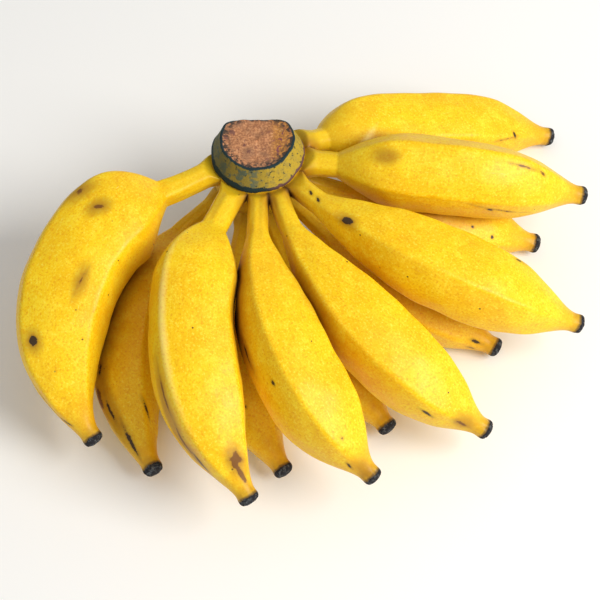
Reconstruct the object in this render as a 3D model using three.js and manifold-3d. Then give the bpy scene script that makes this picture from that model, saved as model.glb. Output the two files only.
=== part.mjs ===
// A hand of twelve short, plump bananas joined at a trimmed crown, lying concave side down.
// Millimetres, +Z up.  The growth frame has the crown's axis at x = y = 0 and the table at z = 0;
// the growth group's position then brings the middle of the footprint to the origin.
import * as THREE from 'three';
import Module from 'manifold-3d';

// ---- driving dimensions ----------------------------------------------------------------------
const RING = 14;            // how far from the crown's axis a pedicel starts, inside the crown
const UPPER = 49;           // height of the upper row's pedicels above the table
const TIP_RADIUS = 4.1;     // dried flower end
const TIP_LENGTH = 5;       // its length
const PRESS_GAP = 0.35;     // clearance left between pieces that press on each other
const ANGULARITY = 0.55;    // 0 is a round finger, 1 a full five-sided one
const SHARPNESS = 7;        // how tight the five ridges are
const SIDES = 16;           // facets round a finger
const RINGS = 24;           // rings along a finger

// Five faces of a finger: direction of each from the widest one (degrees) and relative distance.
const FACES = [[0, 0.96], [88, 1], [152, 1.02], [214, 1.02], [273, 1]];

// Crown: height above the table against radius, from the underside to the cut face.
const CROWN_RADII = [[20, 7], [22, 12], [27, 16.5], [34, 19], [44, 20], [50, 20], [52, 19.6],
  [53.5, 20], [56, 18.8], [60, 17], [62, 16.2]];
const CROWN_BACK = 10.5;    // the crown is sliced flat this far behind its middle
const CROWN_MIDDLE = [-0.7, -1.5];   // of its rings, against the axis the pedicels leave
const CROWN_SIDES = 40;

// One row per finger, left to right.  slot: where on the crown the pedicel leaves it; heading and
// pitch: the way the pedicel points; roll: 0 bends down, 90 bends to the left; shoulder, body and
// tip: degrees of bend in each stretch; length and width of the finger; neck: length of the
// pedicel; swell: length over which it widens; blunt: 1 for a square shoulder, more for a slim one;
// widest: where along the finger; face: direction of the widest face; stalk: pedicel radius.
const COLUMNS = ['name', 'row', 'slot', 'heading', 'pitch', 'roll', 'shoulder', 'body', 'tip',
  'length', 'width', 'neck', 'swell', 'blunt', 'widest', 'face', 'stalk'];
const FINGERS = [
  ['finger_01', 'upper', -160, -149, 0, 70, -10, 110, 0, 158, 41, 32, 24, 1.0, 0.50, 100, 5.4],
  ['finger_02', 'lower', -160, -140, -10, 90, 10, 70, 0, 145, 30, 30, 42, 1.2, 0.54, 100, 3.6],
  ['finger_03', 'upper', -120, -113, 5, 62, 0, 70, -5, 153, 36, 30, 28, 1.1, 0.56, 108, 5.6],
  ['finger_04', 'lower', -110, -100, -10, 90, 0, 45, 0, 125, 30, 26, 42, 1.2, 0.54, 100, 4.2],
  ['finger_05', 'upper', -90, -90, 5, 56, 0, 60, 0, 147, 33, 28, 56, 1.2, 0.64, 102, 4.4],
  ['finger_06', 'lower', -75, -70, -10, 90, 0, 20, 0, 113, 30, 26, 42, 1.2, 0.56, 100, 4.2],
  ['finger_07', 'upper', -65, -75, 5, 55, 15, 45, 0, 148, 33, 28, 58, 1.2, 0.61, 118, 4.5],
  ['finger_08', 'lower', -40, -44, -15, 90, 5, 15, 0, 116, 30, 26, 42, 1.2, 0.54, 100, 4.2],
  ['finger_09', 'upper', -45, -49, 10, 50, 20, 35, 0, 148, 33, 24, 58, 1.2, 0.58, 118, 4.9],
  ['finger_10', 'lower', -10, -10, -15, 90, 0, 5, 0, 115, 30, 26, 34, 1.2, 0.54, 100, 4.5],
  ['finger_11', 'upper', -15, -5, 0, 15, 0, 20, 0, 130, 33, 20, 30, 1.0, 0.55, 114, 5.4],
  ['finger_12', 'lower', 15, 30, -20, 90, -5, -20, 0, 135, 30, 17, 20, 0.8, 0.54, 100, 5.6],
].map((row) => Object.fromEntries(COLUMNS.map((column, i) => [column, row[i]])));

// A finger that lies against another is flattened by it: [the finger, the ones pressing on it].
const PRESSED = {
  finger_02: ['finger_01', 'finger_03'],
  finger_04: ['finger_03', 'finger_05', 'finger_02'],
  finger_05: ['finger_03'],
  finger_06: ['finger_05', 'finger_07', 'finger_04'],
  finger_07: ['finger_05'],
  finger_08: ['finger_07', 'finger_09', 'finger_06'],
  finger_09: ['finger_07'],
  finger_10: ['finger_09', 'finger_11', 'finger_08'],
  finger_11: ['finger_09'],
  finger_12: ['finger_11', 'finger_10'],
};

// ---- small maths -----------------------------------------------------------------------------
const rad = THREE.MathUtils.degToRad;
const clamp01 = (t) => Math.min(1, Math.max(0, t));
const smooth = (t) => clamp01(t) ** 2 * (3 - 2 * clamp01(t));

// Value at x on the broken line through the pairs.
function along(pairs, x) {
  let i = 1;
  while (i < pairs.length - 1 && pairs[i][0] < x) i += 1;
  const [[x0, y0], [x1, y1]] = [pairs[i - 1], pairs[i]];
  return y0 + (y1 - y0) * clamp01((x - x0) / (x1 - x0));
}

// ---- a finger --------------------------------------------------------------------------------
// How far the finger has turned from its pedicel's heading after s millimetres, in radians.
function bendAt(f, s) {
  const shoulder = f.shoulder * smooth((s - 12) / 28);
  const body = f.body * clamp01((s - 26) / (f.length - 26));
  const tip = f.tip * smooth((s - f.length + 28) / 28);
  return rad(shoulder + body + tip);
}

// Radius of the finger before its faces are pressed in; it ends in a short bottle neck.
function radiusAt(f, s) {
  const swell = Math.sin(Math.PI / 2 * clamp01((s - f.neck) / f.swell)) ** f.blunt;
  const widest = f.widest * f.length;
  const taper = (1 - clamp01((s - widest) / (f.length - TIP_LENGTH - widest)) ** 3) ** 1.6;
  const body = TIP_RADIUS + (f.width / 2 - TIP_RADIUS) * taper;
  return f.stalk + (body - f.stalk) * swell;
}

// Five-sided section: 1 on average, less on the faces and more on the ridges.
function facetAt(f, angle) {
  const raw = (a) => FACES.reduce((sum, [turn, distance]) =>
    sum + Math.max(0, Math.cos(a - rad(turn + f.face)) / distance) ** SHARPNESS, 0) ** (-1 / SHARPNESS);
  let mean = 0;
  for (let i = 0; i < 72; i += 1) mean += raw(rad(5 * i)) / 72;
  return 1 + ANGULARITY * (raw(angle) / mean - 1);
}

// Rings along the finger, closer together at the shoulder and at the tip.
function stations(f) {
  const list = [];
  for (let i = 0; i < RINGS; i += 1) {
    const t = i / (RINGS - 1);
    list.push(t * (f.length - 1.2) + 4 * Math.sin(2 * Math.PI * t));
  }
  return [...list, f.length];
}

function fingerShell(f, grow) {
  const [slot, heading, pitch, roll] = [f.slot, f.heading, f.pitch, f.roll].map(rad);
  const forward = new THREE.Vector3(Math.cos(heading) * Math.cos(pitch),
    Math.sin(heading) * Math.cos(pitch), Math.sin(pitch));
  const left = new THREE.Vector3(-Math.sin(heading), Math.cos(heading), 0);
  const up = forward.clone().cross(left);
  const inward = up.multiplyScalar(-Math.cos(roll)).addScaledVector(left, Math.sin(roll));
  const side = forward.clone().cross(inward);

  const centre = new THREE.Vector3(RING * Math.cos(slot), RING * Math.sin(slot), UPPER);
  const section = Array.from({ length: SIDES }, (_, j) => facetAt(f, 2 * Math.PI * j / SIDES));
  const vertices = [];
  const step = 0.5;
  let s = 0;
  for (const station of stations(f)) {
    for (; s < station - 1e-9; s += step) {
      const ds = Math.min(step, station - s);
      const turn = bendAt(f, s + ds / 2);
      centre.addScaledVector(forward, ds * Math.cos(turn)).addScaledVector(inward, ds * Math.sin(turn));
    }
    s = station;
    const turn = bendAt(f, station);
    const towards = forward.clone().multiplyScalar(-Math.sin(turn)).addScaledVector(inward, Math.cos(turn));
    const angular = smooth((station - 15) / 25) * (1 - smooth((station - f.length + 22) / 16));
    const cap = station > f.length - 1 ? 0.78 : 1;
    for (let j = 0; j < SIDES; j += 1) {
      const angle = 2 * Math.PI * j / SIDES;
      const r = cap * radiusAt(f, station) * (1 + (section[j] - 1) * angular) + grow;
      vertices.push(centre.clone().addScaledVector(towards, r * Math.cos(angle))
        .addScaledVector(side, r * Math.sin(angle)));
    }
  }
  return closedTube(vertices, SIDES);
}

// Rings of vertices to a closed body: quads between rings and a fan on each end.
function closedTube(vertices, sides) {
  const rings = vertices.length / sides;
  const middle = (ring) => vertices.slice(ring * sides, (ring + 1) * sides)
    .reduce((sum, v) => sum.add(v), new THREE.Vector3()).divideScalar(sides);
  const first = vertices.length;
  const all = [...vertices, middle(0), middle(rings - 1)];
  const faces = [];
  for (let i = 0; i < rings - 1; i += 1) {
    for (let j = 0; j < sides; j += 1) {
      const [a, b] = [i * sides + j, i * sides + (j + 1) % sides];
      faces.push(a, b, b + sides, a, b + sides, a + sides);
    }
  }
  for (let j = 0; j < sides; j += 1) {
    const next = (j + 1) % sides;
    faces.push(first, next, j);
    faces.push(first + 1, (rings - 1) * sides + j, (rings - 1) * sides + next);
  }
  return { vertices: all, faces };
}

// ---- the crown -------------------------------------------------------------------------------
function crownShell(grow) {
  const vertices = [];
  const last = CROWN_RADII.length - 1;
  CROWN_RADII.forEach(([height, radius], i) => {
    const z = height + (i === 0 ? -grow : 0) + (i === last ? grow : 0);
    for (let j = 0; j < CROWN_SIDES; j += 1) {
      const angle = 2 * Math.PI * j / CROWN_SIDES;
      const back = Math.max(0, Math.sin(angle)) / CROWN_BACK;
      const r = (radius ** -8 + back ** 8) ** (-1 / 8) + grow;
      vertices.push(new THREE.Vector3(CROWN_MIDDLE[0] + r * Math.cos(angle),
        CROWN_MIDDLE[1] + r * Math.sin(angle), z));
    }
  });
  return closedTube(vertices, CROWN_SIDES);
}

// ---- joins and cuts --------------------------------------------------------------------------
const wasm = await Module();
wasm.setup();

function solidOf({ vertices, faces }) {
  const mesh = new wasm.Mesh({ numProp: 3,
    vertProperties: new Float32Array(vertices.flatMap((v) => [v.x, v.y, v.z])),
    triVerts: new Uint32Array(faces) });
  return new wasm.Manifold(mesh);
}

// Of the parts a cut leaves, the biggest.
function biggest(solid) {
  return solid.decompose().sort((a, b) => b.volume() - a.volume())[0];
}

function geometryOf(solid) {
  const mesh = solid.getMesh();
  const geometry = new THREE.BufferGeometry();
  geometry.setAttribute('position', new THREE.BufferAttribute(new Float32Array(mesh.vertProperties), 3));
  geometry.setIndex(new THREE.BufferAttribute(new Uint32Array(mesh.triVerts), 1));
  geometry.computeVertexNormals();
  return geometry;
}

// A finger of the lower row settles on the table: its lowest point is at z = 0.
function settled(f, grow) {
  const shell = fingerShell(f, grow);
  if (f.row === 'upper') return shell;
  const rest = Math.min(...fingerShell(f, 0).vertices.map((v) => v.z));
  shell.vertices.forEach((v) => { v.z -= rest; });
  return shell;
}

// ---- the hand --------------------------------------------------------------------------------
const peel = () => new THREE.MeshStandardMaterial({ color: 0xf2c31b, roughness: 0.5, metalness: 0 });
const cork = () => new THREE.MeshStandardMaterial({ color: 0x7d6a2c, roughness: 0.8, metalness: 0 });

const crown = crownShell(0);
const crownGrown = solidOf(crownShell(PRESS_GAP));
const grown = Object.fromEntries(FINGERS.map((f) => [f.name, solidOf(settled(f, PRESS_GAP))]));

const hand = new THREE.Group();
hand.name = 'hand';
const growth = new THREE.Group();
hand.add(growth);

function addPiece(name, geometry, material) {
  const mesh = new THREE.Mesh(geometry, material);
  mesh.name = name;
  growth.add(mesh);
}

addPiece('crown', geometryOf(solidOf(crown)), cork());
for (const f of FINGERS) {
  let solid = solidOf(settled(f, 0)).subtract(crownGrown);
  for (const other of PRESSED[f.name] ?? []) solid = solid.subtract(grown[other]);
  addPiece(f.name, geometryOf(biggest(solid)), peel());
}

// Middle of the footprint to the origin, lowest point to z = 0.
const box = new THREE.Box3().setFromObject(hand);
const middle = box.getCenter(new THREE.Vector3());
growth.position.set(-middle.x, -middle.y, -box.min.z);

export default hand;
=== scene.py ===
"""A hand of twelve short, plump bananas: ripe peel, dried flower tips and a trimmed crown."""

import math

import bpy
import numpy as np
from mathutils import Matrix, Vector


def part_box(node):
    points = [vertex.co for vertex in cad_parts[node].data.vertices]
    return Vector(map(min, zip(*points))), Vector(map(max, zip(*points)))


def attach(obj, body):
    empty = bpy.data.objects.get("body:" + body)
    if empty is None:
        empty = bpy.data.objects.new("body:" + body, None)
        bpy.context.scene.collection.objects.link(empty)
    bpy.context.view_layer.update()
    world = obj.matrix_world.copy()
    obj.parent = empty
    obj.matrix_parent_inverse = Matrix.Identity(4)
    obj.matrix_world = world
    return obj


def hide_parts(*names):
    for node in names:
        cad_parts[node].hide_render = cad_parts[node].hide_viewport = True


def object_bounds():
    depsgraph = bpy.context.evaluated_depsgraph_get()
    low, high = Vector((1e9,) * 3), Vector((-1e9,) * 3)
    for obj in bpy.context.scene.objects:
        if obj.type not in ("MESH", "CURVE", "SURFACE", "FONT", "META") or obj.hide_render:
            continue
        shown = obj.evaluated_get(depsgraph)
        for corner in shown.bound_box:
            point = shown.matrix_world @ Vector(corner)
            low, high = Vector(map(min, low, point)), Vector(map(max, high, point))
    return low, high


bl_info = {
    "name": "Hand of bananas",
    "version": (1, 0, 0),
    "blender": (4, 5, 0),
    "location": "View3D > Sidebar > Bananas",
    "description": "Builds the peel, the crown and the studio of a hand of bananas",
    "category": "Object",
}

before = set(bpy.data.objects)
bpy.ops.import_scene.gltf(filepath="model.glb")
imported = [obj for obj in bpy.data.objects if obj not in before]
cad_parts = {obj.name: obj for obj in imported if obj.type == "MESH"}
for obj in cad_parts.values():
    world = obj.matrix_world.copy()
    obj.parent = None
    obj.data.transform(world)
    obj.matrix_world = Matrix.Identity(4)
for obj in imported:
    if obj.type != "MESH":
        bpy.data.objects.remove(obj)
CAD_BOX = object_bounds()
MM = 0.001

# ---- the fruit, in millimetres -----------------------------------------------------------------
# Growth frame: the crown's axis is at x = y = 0 and the table at z = 0.
RING = 14.0  # how far from the crown's axis a pedicel starts, inside the crown
UPPER = 49.0  # height of the upper row's pedicels
TIP_RADIUS = 4.1
TIP_LENGTH = 5.0  # the dried end, past which the taper has run out
ANGULARITY = 0.55  # 0 for a round finger, 1 for five flat faces
SHARPNESS = 7  # of the edges between the faces
RIDGE_RISE = 0.5
RIDGE_WIDTH = 1.7
PEDICEL_FLARE = 1.8  # where it grows into the crown
LIP = 51.0  # height under which the pedicels' tops are held
FACE_TURNS = np.radians([0, 88, 152, 214, 273])
FACE_REACH = np.array([0.96, 1.0, 1.02, 1.02, 1.0])

CROWN_BACK = 10.5  # the crown is sliced flat this far behind its middle
CROWN_MIDDLE = (-0.7, -1.5)  # against the axis that the pedicels leave
CROWN_WIDEST = 20.0
CROWN_TOP = 62.0
# Height against radius, from the underside, over the rind and the bevel, to the cork face.
CROWN_OUTLINE = np.array([[20, 4], [22, 11.5], [27, 16.5], [34, 19], [44, 19.8], [51.2, 19.9],
                          [52.6, 19.9], [53.3, 19.5], [54.6, 18.8], [58.0, 17.2], [60.6, 16.2],
                          [61.7, 15.8], [62.0, 15.2], [61.7, 14.2], [61.2, 9.0], [61.0, 0.4]])
RIND_EDGE, CORK_EDGE = 6, 12  # points of the outline where the bevel and the cork begin

AIM = (17.5, -61.0, 30.0)  # what the camera looks at, in the growth frame

# One row per finger, left to right.  slot: where on the crown the pedicel leaves it; heading and
# pitch: the way the pedicel points; roll: 0 bends down, 90 bends to the left; shoulder, body and
# tip: degrees of bend in each stretch; length and width of the finger; neck: length of the
# pedicel; swell: length over which it widens; blunt: 1 for a square shoulder, more for a slim one;
# widest: where along the finger; face: direction of the widest face; stalk: pedicel radius.
COLUMNS = ("row", "slot", "heading", "pitch", "roll", "shoulder", "body", "tip", "length", "width",
           "neck", "swell", "blunt", "widest", "face", "stalk")
FINGERS = {
    "finger_01": ("upper", -160, -149, 0, 70, -10, 110, 0, 158, 41, 32, 24, 1.0, 0.50, 100, 5.4),
    "finger_02": ("lower", -160, -140, -10, 90, 10, 70, 0, 145, 30, 30, 42, 1.2, 0.54, 100, 3.6),
    "finger_03": ("upper", -120, -113, 5, 62, 0, 70, -5, 153, 36, 30, 28, 1.1, 0.56, 108, 5.6),
    "finger_04": ("lower", -110, -100, -10, 90, 0, 45, 0, 125, 30, 26, 42, 1.2, 0.54, 100, 4.2),
    "finger_05": ("upper", -90, -90, 5, 56, 0, 60, 0, 147, 33, 28, 56, 1.2, 0.64, 102, 4.4),
    "finger_06": ("lower", -75, -70, -10, 90, 0, 20, 0, 113, 30, 26, 42, 1.2, 0.56, 100, 4.2),
    "finger_07": ("upper", -65, -75, 5, 55, 15, 45, 0, 148, 33, 28, 58, 1.2, 0.61, 118, 4.5),
    "finger_08": ("lower", -40, -44, -15, 90, 5, 15, 0, 116, 30, 26, 42, 1.2, 0.54, 100, 4.2),
    "finger_09": ("upper", -45, -49, 10, 50, 20, 35, 0, 148, 33, 24, 58, 1.2, 0.58, 118, 4.9),
    "finger_10": ("lower", -10, -10, -15, 90, 0, 5, 0, 115, 30, 26, 34, 1.2, 0.54, 100, 4.5),
    "finger_11": ("upper", -15, -5, 0, 15, 0, 20, 0, 130, 33, 20, 30, 1.0, 0.55, 114, 5.4),
    "finger_12": ("lower", 15, 30, -20, 90, -5, -20, 0, 135, 30, 17, 20, 0.8, 0.54, 100, 5.6),
}
# Where fingers press, which others each one is flattened by.
PRESSED = {
    "finger_02": ("finger_01", "finger_03"),
    "finger_04": ("finger_03", "finger_05", "finger_02"),
    "finger_05": ("finger_03",),
    "finger_06": ("finger_05", "finger_07", "finger_04"),
    "finger_07": ("finger_05",),
    "finger_08": ("finger_07", "finger_09", "finger_06"),
    "finger_09": ("finger_07",),
    "finger_10": ("finger_09", "finger_11", "finger_08"),
    "finger_11": ("finger_09",),
    "finger_12": ("finger_11", "finger_10"),
}


def smooth(t):
    """0 below 0, 1 above 1, and 3t^2 - 2t^3 between."""
    t = np.clip(t, 0, 1)
    return t * t * (3 - 2 * t)


def finger_named(name):
    return dict(zip(COLUMNS, FINGERS[name]), name=name)


def bend(f, s):
    """Turn of the finger's axis from its pedicel's heading at arc length s, in radians: a smooth
    step at the shoulder, an even bend along the body and a smooth step at the tip."""
    shoulder = f["shoulder"] * smooth((s - 12) / 28)
    body = f["body"] * np.clip((s - 26) / (f["length"] - 26), 0, 1)
    tip = f["tip"] * smooth((s - f["length"] + 28) / 28)
    return np.radians(shoulder + body + tip)


def axis_line(f, s):
    """Axis of a finger at the arc lengths s: points, and unit vectors along it, towards its inner
    side and to the side of both.  The axis lies in one plane, so the points are the sum of
    forward*cos(turn) + inward*sin(turn) over half-millimetre steps."""
    heading, pitch, roll, slot = (math.radians(f[k]) for k in ("heading", "pitch", "roll", "slot"))
    forward = np.array([math.cos(heading) * math.cos(pitch), math.sin(heading) * math.cos(pitch),
                        math.sin(pitch)])
    left = np.array([-math.sin(heading), math.cos(heading), 0.0])
    inward = -math.cos(roll) * np.cross(forward, left) + math.sin(roll) * left
    side = np.cross(forward, inward)
    fine = np.linspace(0, f["length"], int(2 * f["length"]) + 1)
    turn = bend(f, (fine[1:] + fine[:-1]) / 2)
    step = np.diff(fine)[:, None] * (np.cos(turn)[:, None] * forward + np.sin(turn)[:, None] * inward)
    walked = np.vstack([np.zeros(3), np.cumsum(step, axis=0)])
    start = np.array([RING * math.cos(slot), RING * math.sin(slot), UPPER])
    points = np.stack([np.interp(s, fine, walked[:, k]) for k in range(3)], axis=-1) + start
    turn = bend(f, s)[:, None]
    along = np.cos(turn) * forward + np.sin(turn) * inward
    inner = np.cos(turn) * inward - np.sin(turn) * forward
    return points, along, inner, np.broadcast_to(side, points.shape)


def girth(f, s):
    """Radius along a finger: the pedicel's, swelling by a power of a sine to the body's, which
    tapers as (1 - u^3)^1.6 from the widest place, so it ends in a short bottle neck."""
    swell = np.sin(np.pi / 2 * np.clip((s - f["neck"]) / f["swell"], 0, 1)) ** f["blunt"]
    widest = f["widest"] * f["length"]
    taper = (1 - np.clip((s - widest) / (f["length"] - TIP_LENGTH - widest), 0, 1) ** 3) ** 1.6
    body = TIP_RADIUS + (f["width"] / 2 - TIP_RADIUS) * taper
    return f["stalk"] + (body - f["stalk"]) * swell


def facet(f, angle):
    """Five-sided section, 1 on average: the p-norm of the five faces' reach, eased towards 1."""
    def raw(a):
        turned = np.cos(a[..., None] - FACE_TURNS - math.radians(f["face"])) / FACE_REACH
        return (np.maximum(0, turned) ** SHARPNESS).sum(-1) ** (-1 / SHARPNESS)
    mean = raw(np.linspace(0, 2 * np.pi, 72, endpoint=False)).mean()
    return 1 + ANGULARITY * (raw(angle) / mean - 1)


def ridge_nearness(f, angle, radius):
    """1 on the crest of a ridge, falling as exp(-(distance / RIDGE_WIDTH)^2) to either side."""
    crests = (FACE_TURNS + np.roll(FACE_TURNS, -1) + np.array([0, 0, 0, 0, 2 * np.pi])) / 2
    away = np.abs(np.angle(np.exp(1j * (angle[..., None] - crests - math.radians(f["face"]))))).min(-1)
    return np.exp(-((away * radius) / RIDGE_WIDTH) ** 2)


def angular_share(f, s):
    """How five-sided the section is: not at all on the pedicel and at the tip, fully on the body."""
    return smooth((s - 15) / 25) * (1 - smooth((s - f["length"] + 22) / 16))


def table_drop(f):
    """How far a finger of the lower row comes down to lie on the table."""
    if f["row"] == "upper":
        return 0.0
    s = np.linspace(0, f["length"], 120)
    angle = np.linspace(0, 2 * np.pi, 32, endpoint=False)
    return plain_skin(f, s, angle)[..., 2].min()


def plain_skin(f, s, angle):
    """Points of the smooth finger: axis + radius * (cos * inner + sin * side)."""
    points, _, inner, side = axis_line(f, s)
    radius = girth(f, s)[:, None] * (1 + (facet(f, angle)[None] - 1) * angular_share(f, s)[:, None])
    around = (np.cos(angle)[None, :, None] * inner[:, None] + np.sin(angle)[None, :, None] * side[:, None])
    return points[:, None] + radius[..., None] * around


def clear_of(skin, other, gap=0.2):
    """Flattens a skin where it presses into another finger: a point nearer to the other's axis
    than its radius there is carried straight out from that axis to its surface.  Also gives how
    far each point then is from the other's surface, in millimetres."""
    s = np.linspace(0, other["length"], 140)
    line, along, inner, side = axis_line(other, s)
    line = line - np.array([0, 0, table_drop(other)])
    flat = skin.reshape(-1, 3)
    near = np.argmin(((flat[:, None] - line[None]) ** 2).sum(-1), axis=1)
    away = flat - line[near]
    away -= (away * along[near]).sum(-1, keepdims=True) * along[near]
    reach = np.linalg.norm(away, axis=-1)
    angle = np.arctan2((away * side[near]).sum(-1), (away * inner[near]).sum(-1))
    wall = girth(other, s)[near] * (1 + (facet(other, angle) - 1) * angular_share(other, s)[near]) + gap
    beside = (near > 0) & (near < len(s) - 1)
    push = np.where(beside & (reach < wall) & (reach > 1e-6), wall - reach, 0.0)
    cleared = (flat + away / np.maximum(reach, 1e-6)[:, None] * push[:, None]).reshape(skin.shape)
    space = np.where(beside, np.maximum(reach - wall, 0.0), 99.0).reshape(skin.shape[:2])
    return cleared, space


# ---- marks on the peel -------------------------------------------------------------------------
# Each mark: finger, kind, how far along it (mm), where round it (degrees from the inner side),
# length and width (mm), and slant from the finger's length (degrees).  Their places are judged
# to the nearest 5 mm and 10 degrees.
# The pale marks are painted highlights: light lines along the crests of ridges.
MARKS = (
    ("finger_01", "spot", 115, 130, 3.5, 3, 20), ("finger_01", "stain", 115, 130, 6, 5, 0),
    ("finger_01", "scuff", 60, 110, 4, 2, 50), ("finger_01", "stain", 60, 110, 8, 5, 30),
    ("finger_01", "scuff", 60, 140, 4, 2, 0), ("finger_01", "stain", 60, 140, 9, 5, 10),
    ("finger_01", "stain", 90, 80, 10, 4, 0), ("finger_01", "scuff", 90, 80, 6, 0.7, 10),
    ("finger_01", "scuff", 135, 170, 12, 1, 0), ("finger_01", "spot", 145, 160, 5, 1.2, -30),
    ("finger_02", "spot", 120, 50, 7, 1, -20), ("finger_02", "spot", 130, 120, 12, 1.6, 5),
    ("finger_02", "spot", 115, 130, 8, 1.2, 0), ("finger_02", "spot", 100, 130, 4, 1, 20),
    ("finger_02", "scuff", 110, 140, 9, 1.4, 0), ("finger_02", "stain", 115, 130, 30, 6, 0),
    ("finger_03", "pale", 80, 150, 30, 1.4, 0),
    ("finger_03", "scuff", 105, 170, 14, 1.1, 5), ("finger_03", "scuff", 120, 180, 12, 1.5, 20),
    ("finger_03", "spot", 130, 190, 8, 1.5, 20), ("finger_03", "stain", 115, 180, 40, 7, 10),
    ("finger_03", "scuff", 135, 100, 7, 3.4, 30), ("finger_03", "scuff", 135, 100, 6, 2.4, 120),
    ("finger_03", "scuff", 140, 100, 11, 2, -10), ("finger_03", "stain", 135, 100, 10, 7, 0),
    ("finger_04", "spot", 95, 100, 1.2, 1, 0),
    ("finger_05", "spot", 80, 200, 8, 1.2, 0), ("finger_05", "stain", 80, 200, 12, 4, 0),
    ("finger_05", "spot", 95, 170, 2, 1.4, 0), ("finger_05", "spot", 125, 130, 1.2, 1, 0),
    ("finger_05", "spot", 135, 170, 3, 1, 20), ("finger_05", "stain", 140, 140, 8, 5, 0),
    ("finger_07", "pale", 90, 60, 45, 1.3, 0), ("finger_07", "spot", 120, 180, 4.5, 1.3, 10),
    ("finger_07", "scuff", 135, 170, 5, 1, 10), ("finger_07", "stain", 135, 160, 8, 5, 0),
    ("finger_08", "spot", 105, 130, 4, 1.2, 0), ("finger_08", "scuff", 105, 170, 3, 1, 20),
    ("finger_09", "spot", 40, 160, 4.4, 2.8, -10), ("finger_09", "stain", 40, 160, 6, 4, 0),
    ("finger_09", "spot", 25, 150, 2, 1, 30), ("finger_09", "spot", 20, 140, 2, 1, 30),
    ("finger_09", "pale", 80, 60, 50, 1.2, 0), ("finger_09", "spot", 110, 80, 5, 1, -10),
    ("finger_10", "spot", 80, 120, 1.3, 1.1, 0), ("finger_10", "spot", 90, 130, 1.5, 1.4, 0),
    ("finger_11", "spot", 85, 250, 3, 1.5, 10), ("finger_11", "scuff", 90, 250, 12, 0.7, 10),
    ("finger_11", "scuff", 105, 170, 3, 1.2, 20), ("finger_11", "stain", 40, 180, 8, 5, 0),
    ("finger_11", "scuff", 95, 170, 7, 0.6, 0),
    ("finger_12", "spot", 110, 140, 2.6, 1, 60), ("finger_12", "scuff", 105, 150, 7, 0.7, -10),
    ("finger_12", "pale", 30, 140, 5, 0.8, -40),
)
MARK_KINDS = ("spot", "scuff", "stain", "pale")


def mark_distance(f, s, angle, kind):
    """Distance in millimetres outside the nearest mark of a kind, negative inside: the length of
    the offset from the mark's middle, measured along and across it in units of its half sizes,
    less one, times the smaller half size."""
    nearest = np.full((len(s), len(angle)), 9.0)
    for name, this, place, turn, length, width, slant in MARKS:
        if name != f["name"] or this != kind:
            continue
        along = s[:, None] - place
        across = np.angle(np.exp(1j * (angle - math.radians(turn))))[None] * girth(f, s)[:, None]
        c, d = math.cos(math.radians(slant)), math.sin(math.radians(slant))
        long_way = (along * c + across * d) / (length / 2)
        short_way = (across * c - along * d) / (width / 2)
        away = (np.hypot(long_way, short_way) - 1) * min(length, width) / 2
        nearest = np.minimum(nearest, away)
    return nearest


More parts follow.
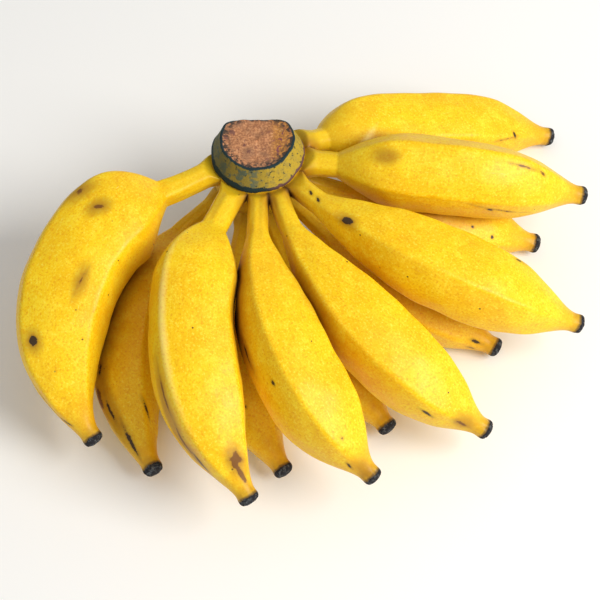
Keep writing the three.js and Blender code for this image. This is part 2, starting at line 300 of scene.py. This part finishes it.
# ---- surfaces ----------------------------------------------------------------------------------
def finger_skin(f, rings, sides):
    """Points of the grown finger and the measures its peel reads.

    The plain skin, plus: ridges raised 0.5 mm on the five crests, shallow swellings made of long
    sines, faint ribs on the pedicel, a flare where it meets the crown, and a puckered dried tip
    that rounds off over 2.4 mm.  Under the crown's lip the pedicel's top is held below a cone."""
    t = np.linspace(0, 1, rings)
    s = f["length"] * (t + 0.02 * np.sin(2 * np.pi * t))
    angle = np.linspace(0, 2 * np.pi, sides, endpoint=False)
    points, _, inner, side = axis_line(f, s)
    seed = float(f["name"][-2:])
    radius = girth(f, s)[:, None] * (1 + (facet(f, angle)[None] - 1) * angular_share(f, s)[:, None])
    on_body = angular_share(f, s)[:, None]
    ridge = ridge_nearness(f, angle[None], girth(f, s)[:, None])
    radius = radius + RIDGE_RISE * ridge * on_body
    radius += on_body * (0.30 * np.sin(s[:, None] / 9.0 + seed) * np.cos(2 * angle + 1.7 * seed)
                         + 0.18 * np.sin(s[:, None] / 4.3 + 2.1 * seed) * np.cos(3 * angle + seed)
                         + 0.12 * np.sin(s[:, None] / 2.4 + 0.7 * seed) * np.cos(5 * angle - seed))
    on_stalk = (1 - smooth((s - f["neck"] + 4) / 12))[:, None]
    radius += on_stalk * (0.14 * np.cos(5 * angle + seed) + 0.08 * np.cos(9 * angle + 2 * seed))
    radius += (PEDICEL_FLARE * (1 - smooth((s - 4) / 9)))[:, None]
    to_tip = (f["length"] - s)[:, None]
    dried = 1 - smooth((to_tip - 2.5) / 3)
    radius += dried * (0.16 * np.cos(6 * angle + seed) + 0.12 * np.cos(11 * angle + 3 * seed))
    radius *= 0.45 + 0.55 * np.sqrt(1 - (1 - np.clip(to_tip / 2.4, 0, 1)) ** 2)
    around = np.cos(angle)[None, :, None] * inner[:, None] + np.sin(angle)[None, :, None] * side[:, None]
    skin = points[:, None] + radius[..., None] * around
    skin = skin - np.array([0, 0, table_drop(f)])
    # How near each point comes to a neighbouring finger; the peel uses it to paint shade into the gaps
    # between fingers.
    between = np.full(radius.shape, 99.0)
    for other in PRESSED.get(f["name"], ()):
        skin, space = clear_of(skin, finger_named(other))
        between = np.minimum(between, space)
    for other, pressers in PRESSED.items():
        if f["name"] in pressers:
            between = np.minimum(between, clear_of(skin, finger_named(other))[1])
    from_middle = np.hypot(skin[..., 0] - CROWN_MIDDLE[0], skin[..., 1] - CROWN_MIDDLE[1])
    lip = LIP + 0.8 * np.maximum(0, from_middle - CROWN_WIDEST)
    over = skin[..., 2] - lip
    skin[..., 2] -= (s[:, None] < 40) * (over + np.sqrt(over ** 2 + 0.6)) / 2
    skin[..., 2] = np.maximum(skin[..., 2], 0.02)
    # The finger unrolled straight, one 400 mm plot each, so no two share the same pattern.
    straight = np.stack([np.broadcast_to(s[:, None], radius.shape) + 400 * seed,
                         radius * np.cos(angle), radius * np.sin(angle)], axis=-1)
    measures = {
        "from_crown": np.broadcast_to(s[:, None], radius.shape),
        "from_tip": np.broadcast_to(to_tip, radius.shape),
        "ridge": ridge * on_body,
        "tone": np.full(radius.shape, (0.37 * seed) % 1.0),
        "between": np.minimum(between, 9.0),
    }
    for kind in MARK_KINDS:
        measures[kind] = mark_distance(f, s, angle, kind)
    return skin, straight, measures


def crown_skin(rings_each, sides):
    """Points of the crown and the measures its finish reads: a profile of height against radius,
    carried round an oval whose back is sliced flat (the 8-norm of radius and the flat's distance).
    The profile climbs the cushion to the rind's edge, crosses the trimmed bevel, and climbs to the
    cork face, which is slightly hollow."""
    knots = CROWN_OUTLINE
    place = np.concatenate([[0], np.cumsum(np.hypot(*np.diff(knots, axis=0).T))])
    t = np.linspace(0, place[-1], rings_each * (len(knots) - 1))
    height, radius = np.interp(t, place, knots[:, 0]), np.interp(t, place, knots[:, 1])
    angle = np.linspace(0, 2 * np.pi, sides, endpoint=False)
    flat = np.maximum(0, np.sin(angle)) / CROWN_BACK
    with np.errstate(divide="ignore"):
        reach = (radius[:, None] ** -8.0 + flat[None] ** 8) ** (-1 / 8)
    rind_edge = t[:, None] - place[RIND_EDGE]
    cork_edge = t[:, None] - place[CORK_EDGE]
    below = smooth(-rind_edge / 3)
    uneven = 0.35 * np.sin(3 * angle + 0.8) + 0.25 * np.sin(7 * angle + 2.0) + 0.12 * np.sin(13 * angle)
    reach = reach + uneven[None] * smooth(reach / 12) * (0.6 + 0.4 * below)
    z = height[:, None] + np.where(cork_edge > 0, 0.22 * np.sin(reach * np.cos(angle) / 1.3)
                                   * np.cos(reach * np.sin(angle) / 1.7), 0.0)
    z = z + 0.35 * np.sin(2 * angle + 0.6) * smooth((rind_edge + 2) / 6)
    back = 0.8 * smooth(rind_edge / 12)
    skin = np.stack([CROWN_MIDDLE[0] + reach * np.cos(angle),
                     CROWN_MIDDLE[1] + reach * np.sin(angle) + back * (1 - np.maximum(0, np.sin(angle))),
                     np.broadcast_to(z, reach.shape)], axis=-1)
    measures = {
        "past_rind": np.broadcast_to(rind_edge, reach.shape),
        "past_cork": np.broadcast_to(cork_edge, reach.shape),
    }
    return skin, skin, measures


def add_surface(name, skin, straight, measures, hub, material):
    """One closed mesh from a grid of points: quads between rings and round them, a fan at each
    end, an unrolled UV map and the measures as attributes of the points."""
    rings, sides = skin.shape[:2]
    points = np.concatenate([skin.reshape(-1, 3), skin[:1].mean(1), skin[-1:].mean(1)])
    points = (points + hub) * MM
    row, column = np.meshgrid(np.arange(rings - 1), np.arange(sides), indexing="ij")
    after = (column + 1) % sides
    quads = np.stack([row * sides + column, row * sides + after, (row + 1) * sides + after,
                      (row + 1) * sides + column], axis=-1).reshape(-1, 4)
    j = np.arange(sides)
    first, last = rings * sides, rings * sides + 1
    start = np.stack([np.full(sides, first), (j + 1) % sides, j], axis=-1)
    end = np.stack([np.full(sides, last), first - sides + j, first - sides + (j + 1) % sides], axis=-1)
    mesh = bpy.data.meshes.new(name)
    mesh.from_pydata(points.tolist(), [], quads.tolist() + start.tolist() + end.tolist())
    # UV: once round across, once along up; the fans take thin strips at both ends.
    u = np.stack([column, column + 1, column + 1, column], axis=-1) / sides
    v = 0.02 + 0.96 * np.stack([row, row, row + 1, row + 1], axis=-1) / (rings - 1)
    fan_u = np.stack([j + 0.5, j + 1, j], axis=-1) / sides
    fan_v = np.broadcast_to([0.0, 0.02, 0.02], (sides, 3))
    tail_u = np.stack([j + 0.5, j, j + 1], axis=-1) / sides
    uv = np.concatenate([np.stack([u, v], axis=-1).reshape(-1, 2),
                         np.stack([fan_u, fan_v], axis=-1).reshape(-1, 2),
                         np.stack([tail_u, 1 - fan_v], axis=-1).reshape(-1, 2)])
    mesh.uv_layers.new(name="OFBake").data.foreach_set("uv", uv.ravel())
    vector = mesh.attributes.new("straight", "FLOAT_VECTOR", "POINT")
    flat = np.concatenate([straight.reshape(-1, 3), straight[:1].mean(1), straight[-1:].mean(1)])
    vector.data.foreach_set("vector", (flat * MM).ravel())
    for key, values in measures.items():
        values = np.asarray(values, dtype=float)
        flat = np.concatenate([values.ravel(), values[:1].mean(1), values[-1:].mean(1)])
        mesh.attributes.new(key, "FLOAT", "POINT").data.foreach_set("value", flat)
    mesh.polygons.foreach_set("use_smooth", np.ones(len(mesh.polygons), dtype=bool))
    mesh.materials.append(material)
    mesh.update()
    piece = bpy.data.objects.new(name, mesh)
    bpy.context.scene.collection.objects.link(piece)
    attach(piece, "root")
    return piece


def hub_place():
    """Where the growth frame's origin is in the frame, from the crown's box."""
    low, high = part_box("crown")
    return np.array([(low.x + high.x) / 2 / MM - CROWN_MIDDLE[0],
                     low.y / MM + CROWN_WIDEST - CROWN_MIDDLE[1],
                     high.z / MM - CROWN_TOP])


# ---- finishes ----------------------------------------------------------------------------------
def paint(code):
    """An sRGB hex colour as linear RGBA: each part / 12.92 when dark, else a 2.4 power."""
    srgb = [int(code[i:i + 2], 16) / 255 for i in (1, 3, 5)]
    return [c / 12.92 if c <= 0.04045 else ((c + 0.055) / 1.055) ** 2.4 for c in srgb] + [1.0]


def opaque(colour):
    """A colour setting as RGBA with full alpha."""
    return [*colour][:3] + [1.0]


def add(tree, kind, sockets=None, **settings):
    """Adds a node, sets its properties, and gives each named or numbered socket a value, a hex
    colour, another node's first output, or any one output."""
    made = tree.nodes.new(kind)
    for key, value in settings.items():
        setattr(made, key, value)
    for key, value in (sockets or {}).items():
        if isinstance(value, bpy.types.Node):
            value = value.outputs[0]
        if isinstance(value, bpy.types.NodeSocket):
            tree.links.new(value, made.inputs[key])
        else:
            made.inputs[key].default_value = paint(value) if isinstance(value, str) else value
    return made


def empty_material(name):
    """A material with a bare node tree, or the one of that name, emptied."""
    material = bpy.data.materials.get(name) or bpy.data.materials.new(name)
    material.use_nodes = True
    material.node_tree.nodes.clear()
    return material, material.node_tree


def peel_material(look):
    """Ripe banana peel, grown: a waxy yellow skin that is cloudy at 2 cm, fibrous along its length
    and finely pored, so it has a soft broad gloss that breaks up over small bumps.  The pedicel is
    greener, and the dried flower end is matt, black and rough, with grey dust and painted blue-grey
    sheen.  Painted shade darkens the peel in the gaps between fingers, and painted highlights run as
    pale lines along some ridges."""
    material, tree = empty_material("Banana peel, ripe, waxy")
    straight = add(tree, "ShaderNodeAttribute", attribute_name="straight").outputs["Vector"]
    read = {}
    for name in ("from_crown", "from_tip", "ridge", "tone", "between") + MARK_KINDS:
        read[name] = add(tree, "ShaderNodeAttribute", attribute_name=name).outputs["Fac"]

    # Clouds 24 mm across, blotches 5 mm, fibres 0.8 by 9 mm, scratches 1.6 by 18 mm, and pores drawn
    # 0.9 mm coarse, because real ones, 0.3 mm, are too fine to show.
    lengthwise = add(tree, "ShaderNodeMapping", {"Vector": straight, "Scale": (0.09, 1, 1)})
    clouds = add(tree, "ShaderNodeTexNoise", {"Vector": straight, "Scale": 1 / (24 * MM), "Detail": 3.0})
    blotches = add(tree, "ShaderNodeTexNoise", {"Vector": straight, "Scale": 1 / (5 * MM),
                                                "Detail": 4.0, "Roughness": 0.6})
    fibres = add(tree, "ShaderNodeTexNoise", {"Vector": lengthwise, "Scale": 1 / (0.8 * MM),
                                              "Detail": 2.0})
    scratches = add(tree, "ShaderNodeTexNoise", {"Vector": lengthwise, "Scale": 1 / (1.6 * MM),
                                                 "Detail": 5.0, "Roughness": 0.7, "Distortion": 0.6})
    pores = add(tree, "ShaderNodeTexNoise", {"Vector": straight, "Scale": 1 / (0.9 * MM), "Detail": 3.0,
                                             "Roughness": 0.7})
    freckles = add(tree, "ShaderNodeTexVoronoi", {"Vector": straight, "Scale": 1 / (6 * MM)})
    chosen = add(tree, "ShaderNodeSeparateColor", {0: freckles.outputs["Color"]})

    # Edges wander by up to half a millimetre, so no mark is a clean oval.
    wander = add(tree, "ShaderNodeMath", {0: blotches, 1: 0.5}, operation="SUBTRACT")
    grainy = add(tree, "ShaderNodeMath", {0: pores, 1: 0.5}, operation="SUBTRACT")
    ragged = add(tree, "ShaderNodeMath", {0: wander, 1: 1.6, 2: grainy}, operation="MULTIPLY_ADD")
    edge = {}
    for name in MARK_KINDS + ("from_tip", "from_crown", "between"):
        edge[name] = add(tree, "ShaderNodeMath", {0: ragged, 1: 1.0, 2: read[name]},
                         operation="MULTIPLY_ADD").outputs[0]
    tip_edge = add(tree, "ShaderNodeMath", {0: wander, 1: 9.0, 2: read["from_tip"]},
                   operation="MULTIPLY_ADD").outputs[0]

    # Layers of colour, from the ground up: what is read, where it starts and ends, how much, colour.
    layers = (
        (clouds.outputs[0], 0.40, 0.66, 0.60, opaque(look.deep)),
        (read["tone"], 0.3, 1.0, 0.25, opaque(look.deep)),
        (blotches.outputs[0], 0.48, 0.70, 0.50, opaque(look.light)),
        (blotches.outputs[0], 0.46, 0.30, 0.35, "#F0AE10"),
        (fibres.outputs[0], 0.50, 0.72, 0.30, "#F2B414"),
        (scratches.outputs[0], 0.66, 0.74, 0.45, "#FFEC8C"),
        (scratches.outputs[0], 0.34, 0.27, 0.35, "#D08E1C"),
        (pores.outputs[0], 0.51, 0.70, 0.75, "#E49A0C"),
        (pores.outputs[0], 0.47, 0.30, 0.70, "#FFEA52"),
        (edge["from_crown"], 44.0, 14.0, 0.45, "#DDBB22"),
        (edge["from_crown"], 13.0, 8.0, 0.45, "#A98A22"),
        (edge["from_crown"], 6.5, 4.8, 0.40, "#8A6A22"),
        # Painted shade in the gaps between fingers: orange-brown within 8 mm of a neighbour, dark brown
        # within 2.6 mm.
        (edge["between"], 8.0, 0.8, 0.65, "#A05A10"),
        (edge["between"], 2.6, 0.4, 0.85, "#3C2420"),
        (tip_edge, 20.0, 7.0, 0.55, "#E0A21C"),
        (tip_edge, 8.5, 3.0, 0.60, "#B58A24"),
        # Painted highlights: the pale marks, light lines along ridge crests.
        (edge["pale"], 1.6, -0.5, 0.45, "#FFEE96"),
        (edge["stain"], 3.0, -1.5, 0.70, "#A5701A"),
        (edge["scuff"], 0.9, 0.0, 0.45, "#A87A22"),
        (edge["scuff"], 0.15, -0.25, 0.85, "#6A3C18"),
        (edge["spot"], 0.8, 0.0, 0.40, "#8C6420"),
        (edge["spot"], 0.1, -0.15, 0.95, "#33251C"),
        (edge["from_tip"], 4.0, 3.1, 0.75, "#5B4426"),
        (edge["from_tip"], 3.0, 2.4, 1.0, "#232227"),
    )
    colour = opaque(look.ripe)
    for value, start, end, most, tint in layers:
        share = add(tree, "ShaderNodeMapRange", {"Value": value, "From Min": start, "From Max": end,
                                                 "To Max": most}, interpolation_type="SMOOTHSTEP")
        colour = add(tree, "ShaderNodeMix", {0: share, 6: colour, 7: tint}, data_type="RGBA").outputs[2]

    # A few round brown freckles, under half a millimetre in radius, in a quarter of the cells.
    round_one = add(tree, "ShaderNodeMapRange", {"Value": freckles.outputs["Distance"],
                                                 "From Min": 0.085, "From Max": 0.05})
    kept = add(tree, "ShaderNodeMapRange", {"Value": chosen, "From Min": 0.78, "From Max": 0.80})
    freckle = add(tree, "ShaderNodeMath", {0: round_one, 1: kept}, operation="MULTIPLY")
    colour = add(tree, "ShaderNodeMix", {0: freckle, 6: colour, 7: "#6E4A1A"}, data_type="RGBA").outputs[2]

    # The dried end: black with blue-grey blotches 1.5 mm across, partly grey dust and partly painted
    # blue-grey sheen.
    dried = add(tree, "ShaderNodeMapRange", {"Value": edge["from_tip"], "From Min": 3.0, "From Max": 2.4})
    dust_and_sheen = add(tree, "ShaderNodeTexNoise", {"Vector": straight, "Scale": 1 / (1.5 * MM), "Detail": 4.0,
                                            "Roughness": 0.7})
    dust_and_sheen_share = add(tree, "ShaderNodeMapRange", {"Value": dust_and_sheen, "From Min": 0.5, "From Max": 0.68,
                                             "To Max": 0.8})
    on_tip = add(tree, "ShaderNodeMath", {0: dust_and_sheen_share, 1: dried}, operation="MULTIPLY")
    colour = add(tree, "ShaderNodeMix", {0: on_tip, 6: colour, 7: "#6A6E70"}, data_type="RGBA").outputs[2]

    gloss = add(tree, "ShaderNodeMapRange", {"Value": blotches, "From Min": 0.3, "From Max": 0.7,
                                             "To Min": look.roughness - 0.05,
                                             "To Max": look.roughness + 0.09})
    rough = add(tree, "ShaderNodeMix", {0: dried, 2: gloss, 3: 0.85})

    # Relief: pores 0.03 mm, fibres 0.05 mm, blotches 0.12 mm, the dried end 0.5 mm.
    relief = add(tree, "ShaderNodeMath", {0: pores, 1: 0.03}, operation="MULTIPLY")
    relief = add(tree, "ShaderNodeMath", {0: fibres, 1: 0.05, 2: relief}, operation="MULTIPLY_ADD")
    relief = add(tree, "ShaderNodeMath", {0: blotches, 1: 0.12, 2: relief}, operation="MULTIPLY_ADD")
    crust = add(tree, "ShaderNodeMath", {0: dust_and_sheen, 1: dried}, operation="MULTIPLY")
    relief = add(tree, "ShaderNodeMath", {0: crust, 1: 0.5, 2: relief}, operation="MULTIPLY_ADD")
    bump = add(tree, "ShaderNodeBump", {"Height": relief, "Strength": 0.9, "Distance": MM})
    shader = add(tree, "ShaderNodeBsdfPrincipled", {"Base Color": colour, "Roughness": rough,
                                                    "Normal": bump, "IOR": 1.42,
                                                    "Specular IOR Level": 0.38})
    add(tree, "ShaderNodeOutputMaterial", {0: shader})
    return material


def crown_material(look):
    """Banana crown, sawn across and dried: a salmon-brown cork face, mottled finely and spotted
    purple-brown, inside a teal-black sap line; a knife-trimmed olive-yellow bevel; a second dried
    sap line; and below it the same waxy yellow rind as the fingers."""
    material, tree = empty_material("Banana crown, sawn and dried")
    where = add(tree, "ShaderNodeAttribute", attribute_name="straight").outputs["Vector"]
    past_rind = add(tree, "ShaderNodeAttribute", attribute_name="past_rind").outputs["Fac"]
    past_cork = add(tree, "ShaderNodeAttribute", attribute_name="past_cork").outputs["Fac"]
    across = add(tree, "ShaderNodeSeparateXYZ", {0: where})

    # Cork cells 0.9 mm, dots 1.7 mm, stains 3.2 mm, clouds 9 mm.
    cells = add(tree, "ShaderNodeTexNoise", {"Vector": where, "Scale": 1 / (0.9 * MM), "Detail": 3.0,
                                             "Roughness": 0.65})
    stains = add(tree, "ShaderNodeTexNoise", {"Vector": where, "Scale": 1 / (3.2 * MM), "Detail": 3.0,
                                              "Roughness": 0.6, "Distortion": 0.5})
    clouds = add(tree, "ShaderNodeTexNoise", {"Vector": where, "Scale": 1 / (9 * MM), "Detail": 2.0})
    dots = add(tree, "ShaderNodeTexNoise", {"Vector": where, "Scale": 1 / (1.7 * MM), "Detail": 2.0})
    wander = add(tree, "ShaderNodeMath", {0: stains, 1: 0.5}, operation="SUBTRACT")
    rind = add(tree, "ShaderNodeMath", {0: wander, 1: 3.5, 2: past_rind}, operation="MULTIPLY_ADD")
    cork = add(tree, "ShaderNodeMath", {0: wander, 1: 2.0, 2: past_cork}, operation="MULTIPLY_ADD")
    rightward = add(tree, "ShaderNodeMapRange", {"Value": across.outputs["X"], "From Min": 2 * MM,
                                                 "From Max": 10 * MM}, interpolation_type="SMOOTHSTEP")
    leftward = add(tree, "ShaderNodeMapRange", {"Value": across.outputs["X"], "From Min": 8 * MM,
                                                "From Max": -6 * MM, "To Min": 0.25},
                   interpolation_type="SMOOTHSTEP")
    rim = add(tree, "ShaderNodeMapRange", {"Value": past_cork, "From Min": 5.5, "From Max": 1.2},
              interpolation_type="SMOOTHSTEP")

    # Layers of each part: what is read, where it starts and ends, how much, colour, and what else
    # limits it.  The rind is laid first, then the bevel and the face, then the two sap lines.
    x, sap = across.outputs["X"], opaque(look.sap)
    parts = {
        "rind": ("#D9BC22", (
            (clouds, 0.42, 0.62, 1.0, "#B59A26", None),
            (cells, 0.60, 0.75, 0.4, "#8A7A30", None),
            (past_rind, -22.0, -14.0, 0.8, "#E0B71E", None))),
        "bevel": ("#BFA22E", (
            (leftward, 0.0, 1.0, 1.0, "#8E7E34", None),
            (stains, 0.48, 0.60, 0.9, "#4F6258", leftward),
            (cells, 0.56, 0.66, 0.6, "#7A6530", None),
            (dots, 0.62, 0.68, 0.9, "#2C3A30", None),
            (x, -10 * MM, -16 * MM, 0.6, "#4A5440", None))),
        "face": (opaque(look.cork), (
            (rightward, 0.0, 1.0, 1.0, "#C28436", None),
            (cells, 0.42, 0.62, 0.75, "#8E5B40", None),
            (cells, 0.44, 0.30, 0.60, "#E2B088", None),
            (clouds, 0.50, 0.64, 0.6, "#946B50", None),
            (stains, 0.56, 0.64, 0.9, "#7A3A54", rightward),
            (stains, 0.60, 0.66, 0.8, "#6D4440", leftward),
            (dots, 0.44, 0.54, 0.9, "#34302E", rim))),
    }
    painted = {}
    for part, (colour, layers) in parts.items():
        for value, start, end, most, tint, limit in layers:
            share = add(tree, "ShaderNodeMapRange", {"Value": value, "From Min": start, "From Max": end,
                                                     "To Max": most}, interpolation_type="SMOOTHSTEP")
            if limit is not None:
                share = add(tree, "ShaderNodeMath", {0: share, 1: limit}, operation="MULTIPLY")
            colour = add(tree, "ShaderNodeMix", {0: share, 6: colour, 7: tint}, data_type="RGBA").outputs[2]
        painted[part] = colour

    # Each band starts past an edge, and a sap line also ends 1 to 2 mm on, wider at the left.
    spread = add(tree, "ShaderNodeMath", {0: leftward, 1: -1.6, 2: rind}, operation="MULTIPLY_ADD")
    ring_tint = add(tree, "ShaderNodeMix", {0: rightward, 6: sap, 7: "#6B4A48"}, data_type="RGBA").outputs[2]
    bands = (
        (painted["bevel"], rind, -0.2, 0.4, None, None, None),
        (painted["face"], cork, -0.3, 0.3, None, None, None),
        (ring_tint, rind, -1.5, -0.8, spread, 0.7, 0.1),
        (sap, cork, -1.1, -0.6, cork, 0.8, 0.2),
    )
    colour = painted["rind"]
    for tint, value, start, end, until, fades, gone in bands:
        share = add(tree, "ShaderNodeMapRange", {"Value": value, "From Min": start, "From Max": end},
                    interpolation_type="SMOOTHSTEP")
        if until is not None:
            ending = add(tree, "ShaderNodeMapRange", {"Value": until, "From Min": fades, "From Max": gone},
                         interpolation_type="SMOOTHSTEP")
            share = add(tree, "ShaderNodeMath", {0: share, 1: ending}, operation="MULTIPLY")
        colour = add(tree, "ShaderNodeMix", {0: share, 6: colour, 7: tint}, data_type="RGBA").outputs[2]

    cut = add(tree, "ShaderNodeMapRange", {"Value": rind, "From Min": -1.0, "From Max": 0.5},
              interpolation_type="SMOOTHSTEP")
    rough = add(tree, "ShaderNodeMix", {0: cut, 2: 0.45, 3: 0.78})
    relief = add(tree, "ShaderNodeMath", {0: cells, 1: 0.25}, operation="MULTIPLY")
    relief = add(tree, "ShaderNodeMath", {0: stains, 1: 0.35, 2: relief}, operation="MULTIPLY_ADD")
    bump = add(tree, "ShaderNodeBump", {"Height": relief, "Strength": 0.8, "Distance": MM})
    shader = add(tree, "ShaderNodeBsdfPrincipled", {"Base Color": colour, "Roughness": rough,
                                                    "Normal": bump, "IOR": 1.42})
    add(tree, "ShaderNodeOutputMaterial", {0: shader})
    return material


def floor_material(stage):
    """Matt white card, sprayed: no gloss and a tooth too fine to see, drawn 2 mm coarse."""
    material, tree = empty_material("White card, matt")
    place = add(tree, "ShaderNodeTexCoord")
    tooth = add(tree, "ShaderNodeTexNoise", {"Vector": place.outputs["Object"], "Scale": 1 / (2 * MM)})
    bump = add(tree, "ShaderNodeBump", {"Height": tooth, "Strength": 0.05, "Distance": 0.1 * MM})
    tone = [stage.floor_tone] * 3 + [1.0]
    shader = add(tree, "ShaderNodeBsdfPrincipled", {"Base Color": tone, "Roughness": 0.95, "Normal": bump,
                                                    "Specular IOR Level": 0.1})
    add(tree, "ShaderNodeOutputMaterial", {0: shader})
    return material


# ---- what a user may change --------------------------------------------------------------------
class FingerSettings(bpy.types.PropertyGroup):
    rings: bpy.props.IntProperty(name="Rings", description="Rings of points along each finger",
                                 default=260, min=40, max=600)
    sides: bpy.props.IntProperty(name="Sides", description="Points round each finger",
                                 default=140, min=20, max=400)
    ripe: bpy.props.FloatVectorProperty(name="Ripe", description="Main colour of the peel",
                                        subtype="COLOR", default=paint("#FBD010")[:3])
    deep: bpy.props.FloatVectorProperty(name="Deep", description="Colour of the riper clouds",
                                        subtype="COLOR", default=paint("#F5BC0A")[:3])
    light: bpy.props.FloatVectorProperty(name="Light", description="Colour of the paler patches",
                                         subtype="COLOR", default=paint("#FFE332")[:3])
    roughness: bpy.props.FloatProperty(name="Roughness", description="How matt the wax is",
                                       subtype="FACTOR", default=0.40, min=0.1, max=1.0)


class CrownSettings(bpy.types.PropertyGroup):
    rings: bpy.props.IntProperty(name="Rings", description="Rings of points for each step of the profile",
                                 default=12, min=2, max=30)
    sides: bpy.props.IntProperty(name="Sides", description="Points round the crown",
                                 default=180, min=20, max=400)
    cork: bpy.props.FloatVectorProperty(name="Cork", description="Colour of the sawn face",
                                        subtype="COLOR", default=paint("#C68A5E")[:3])
    sap: bpy.props.FloatVectorProperty(name="Sap", description="Colour of the dried sap lines",
                                       subtype="COLOR", default=paint("#142E34")[:3])


class StageSettings(bpy.types.PropertyGroup):
    floor_width: bpy.props.FloatProperty(name="Floor width", description="Width of the square floor",
                                         unit="LENGTH", default=6.0, min=1.0)
    floor_tone: bpy.props.FloatProperty(name="Floor tone", description="How pale the floor is",
                                        subtype="FACTOR", default=0.95, min=0.1, max=1.0)
    key: bpy.props.FloatProperty(name="Key", description="Power of the main light, in watts",
                                 default=15.5, min=0.0)
    fill: bpy.props.FloatProperty(name="Fill", description="Power of the light beside the camera, in watts",
                                  default=0.8, min=0.0)
    room: bpy.props.FloatProperty(name="Room", description="Strength of the even light all round",
                                  default=0.46, min=0.0)
    distance: bpy.props.FloatProperty(name="Distance", description="Camera to its target",
                                      unit="LENGTH", default=0.75, min=0.2)
    elevation: bpy.props.FloatProperty(name="Elevation", description="Camera above the horizon",
                                       subtype="ANGLE", unit="ROTATION", default=math.radians(60))
    lens: bpy.props.FloatProperty(name="Lens", description="Focal length in millimetres, for 36 mm film",
                                  default=107.1, min=20.0)


# ---- the studio --------------------------------------------------------------------------------
FLOOR_GAP = 0.0003  # the floor is this far under the fruit, in metres


def add_floor(scene, settings):
    half, low = settings.floor_width / 2, CAD_BOX[0][2] - FLOOR_GAP
    corners = [(-half, -half, low), (half, -half, low), (half, half, low), (-half, half, low)]
    card = bpy.data.meshes.new("floor")
    card.from_pydata(corners, [], [(0, 1, 2, 3)])
    card.materials.append(floor_material(settings))
    floor = bpy.data.objects.new("floor", card)
    scene.collection.objects.link(floor)


def add_lights(scene, settings):
    """A soft key from the right, a weak fill from the left front, and an even white room."""
    middle = (CAD_BOX[0] + CAD_BOX[1]) / 2
    lights = (("key", (0.88, -0.34, 0.86), 0.80, settings.key, "#FFFCF4"),
              ("fill", (-0.50, -0.85, 0.75), 1.10, settings.fill, "#FFFCF8"))
    for name, away, width, power, tint in lights:
        lamp = bpy.data.lights.new(name, "AREA")
        lamp.shape = "DISK"
        lamp.size = width
        lamp.energy = power
        lamp.color = paint(tint)[:3]
        holder = bpy.data.objects.new(name, lamp)
        holder.location = middle + Vector(away)
        holder.rotation_euler = (-Vector(away)).to_track_quat("-Z", "Y").to_euler()
        scene.collection.objects.link(holder)
    scene.world = scene.world or bpy.data.worlds.new("room")
    scene.world.use_nodes = True
    sky = scene.world.node_tree
    sky.nodes.clear()
    glow = add(sky, "ShaderNodeBackground", {"Color": "#FFFFFF", "Strength": settings.room})
    add(sky, "ShaderNodeOutputWorld", {0: glow})


def add_camera(scene, settings):
    """A camera that looks down at AIM, level and from the front."""
    target = Vector(((hub_place() + np.array(AIM)) * MM).tolist())
    rise = settings.elevation
    back = Vector((0.0, -math.cos(rise), math.sin(rise)))
    eye = bpy.data.cameras.new("camera")
    eye.lens = settings.lens
    eye.sensor_width = 36.0
    eye.clip_start, eye.clip_end = 0.05, 20.0
    camera = bpy.data.objects.new("camera", eye)
    camera.location = target + back * settings.distance
    camera.rotation_euler = (math.pi / 2 - rise, 0.0, 0.0)
    scene.collection.objects.link(camera)
    scene.camera = camera


# ---- the steps ---------------------------------------------------------------------------------
class BuildFingers(bpy.types.Operator):
    """Build the twelve fingers and give them their peel."""
    bl_idname = "bananas.fingers"
    bl_label = "Fingers"

    def execute(self, context):
        settings = context.scene.banana_fingers
        peel = peel_material(settings)
        hub = hub_place()
        for name in FINGERS:
            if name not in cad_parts:
                raise RuntimeError("the model has no " + name)
            skin, straight, measures = finger_skin(finger_named(name), settings.rings, settings.sides)
            piece = add_surface(name + "_peel", skin, straight, measures, hub, peel)
            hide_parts(name)
        return {"FINISHED"}


class BuildCrown(bpy.types.Operator):
    """Build the trimmed crown that carries the fingers."""
    bl_idname = "bananas.crown"
    bl_label = "Crown"

    def execute(self, context):
        settings = context.scene.banana_crown
        if "crown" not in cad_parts:
            raise RuntimeError("the model has no crown")
        skin, straight, measures = crown_skin(settings.rings, settings.sides)
        piece = add_surface("crown_cut", skin, straight, measures, hub_place(),
                            crown_material(settings))
        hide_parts("crown")
        return {"FINISHED"}


class BuildStage(bpy.types.Operator):
    """Set up the floor, the soft lights and the camera."""
    bl_idname = "bananas.stage"
    bl_label = "Studio"

    def execute(self, context):
        settings = context.scene.banana_stage
        scene = context.scene
        add_floor(scene, settings)
        add_lights(scene, settings)
        add_camera(scene, settings)
        scene.view_settings.view_transform = "Standard"
        return {"FINISHED"}


class BananaPanel(bpy.types.Panel):
    """Sizes, colours and steps of the hand of bananas."""
    bl_idname = "VIEW3D_PT_bananas"
    bl_label = "Hand of bananas"
    bl_space_type = "VIEW_3D"
    bl_region_type = "UI"
    bl_category = "Bananas"

    def draw(self, context):
        groups = ((context.scene.banana_fingers, BuildFingers), (context.scene.banana_crown, BuildCrown),
                  (context.scene.banana_stage, BuildStage))
        for settings, step in groups:
            box = self.layout.box()
            for key in settings.__annotations__:
                box.prop(settings, key)
            box.operator(step.bl_idname)


CLASSES = (FingerSettings, CrownSettings, StageSettings, BuildFingers, BuildCrown, BuildStage, BananaPanel)


def register():
    for made in CLASSES:
        bpy.utils.register_class(made)
    bpy.types.Scene.banana_fingers = bpy.props.PointerProperty(type=FingerSettings)
    bpy.types.Scene.banana_crown = bpy.props.PointerProperty(type=CrownSettings)
    bpy.types.Scene.banana_stage = bpy.props.PointerProperty(type=StageSettings)


def unregister():
    del bpy.types.Scene.banana_fingers, bpy.types.Scene.banana_crown, bpy.types.Scene.banana_stage
    for made in reversed(CLASSES):
        bpy.utils.unregister_class(made)


def main():
    register()
    bpy.ops.bananas.stage()
    bpy.ops.bananas.fingers()
    bpy.ops.bananas.crown()


if __name__ == "__main__":
    main()
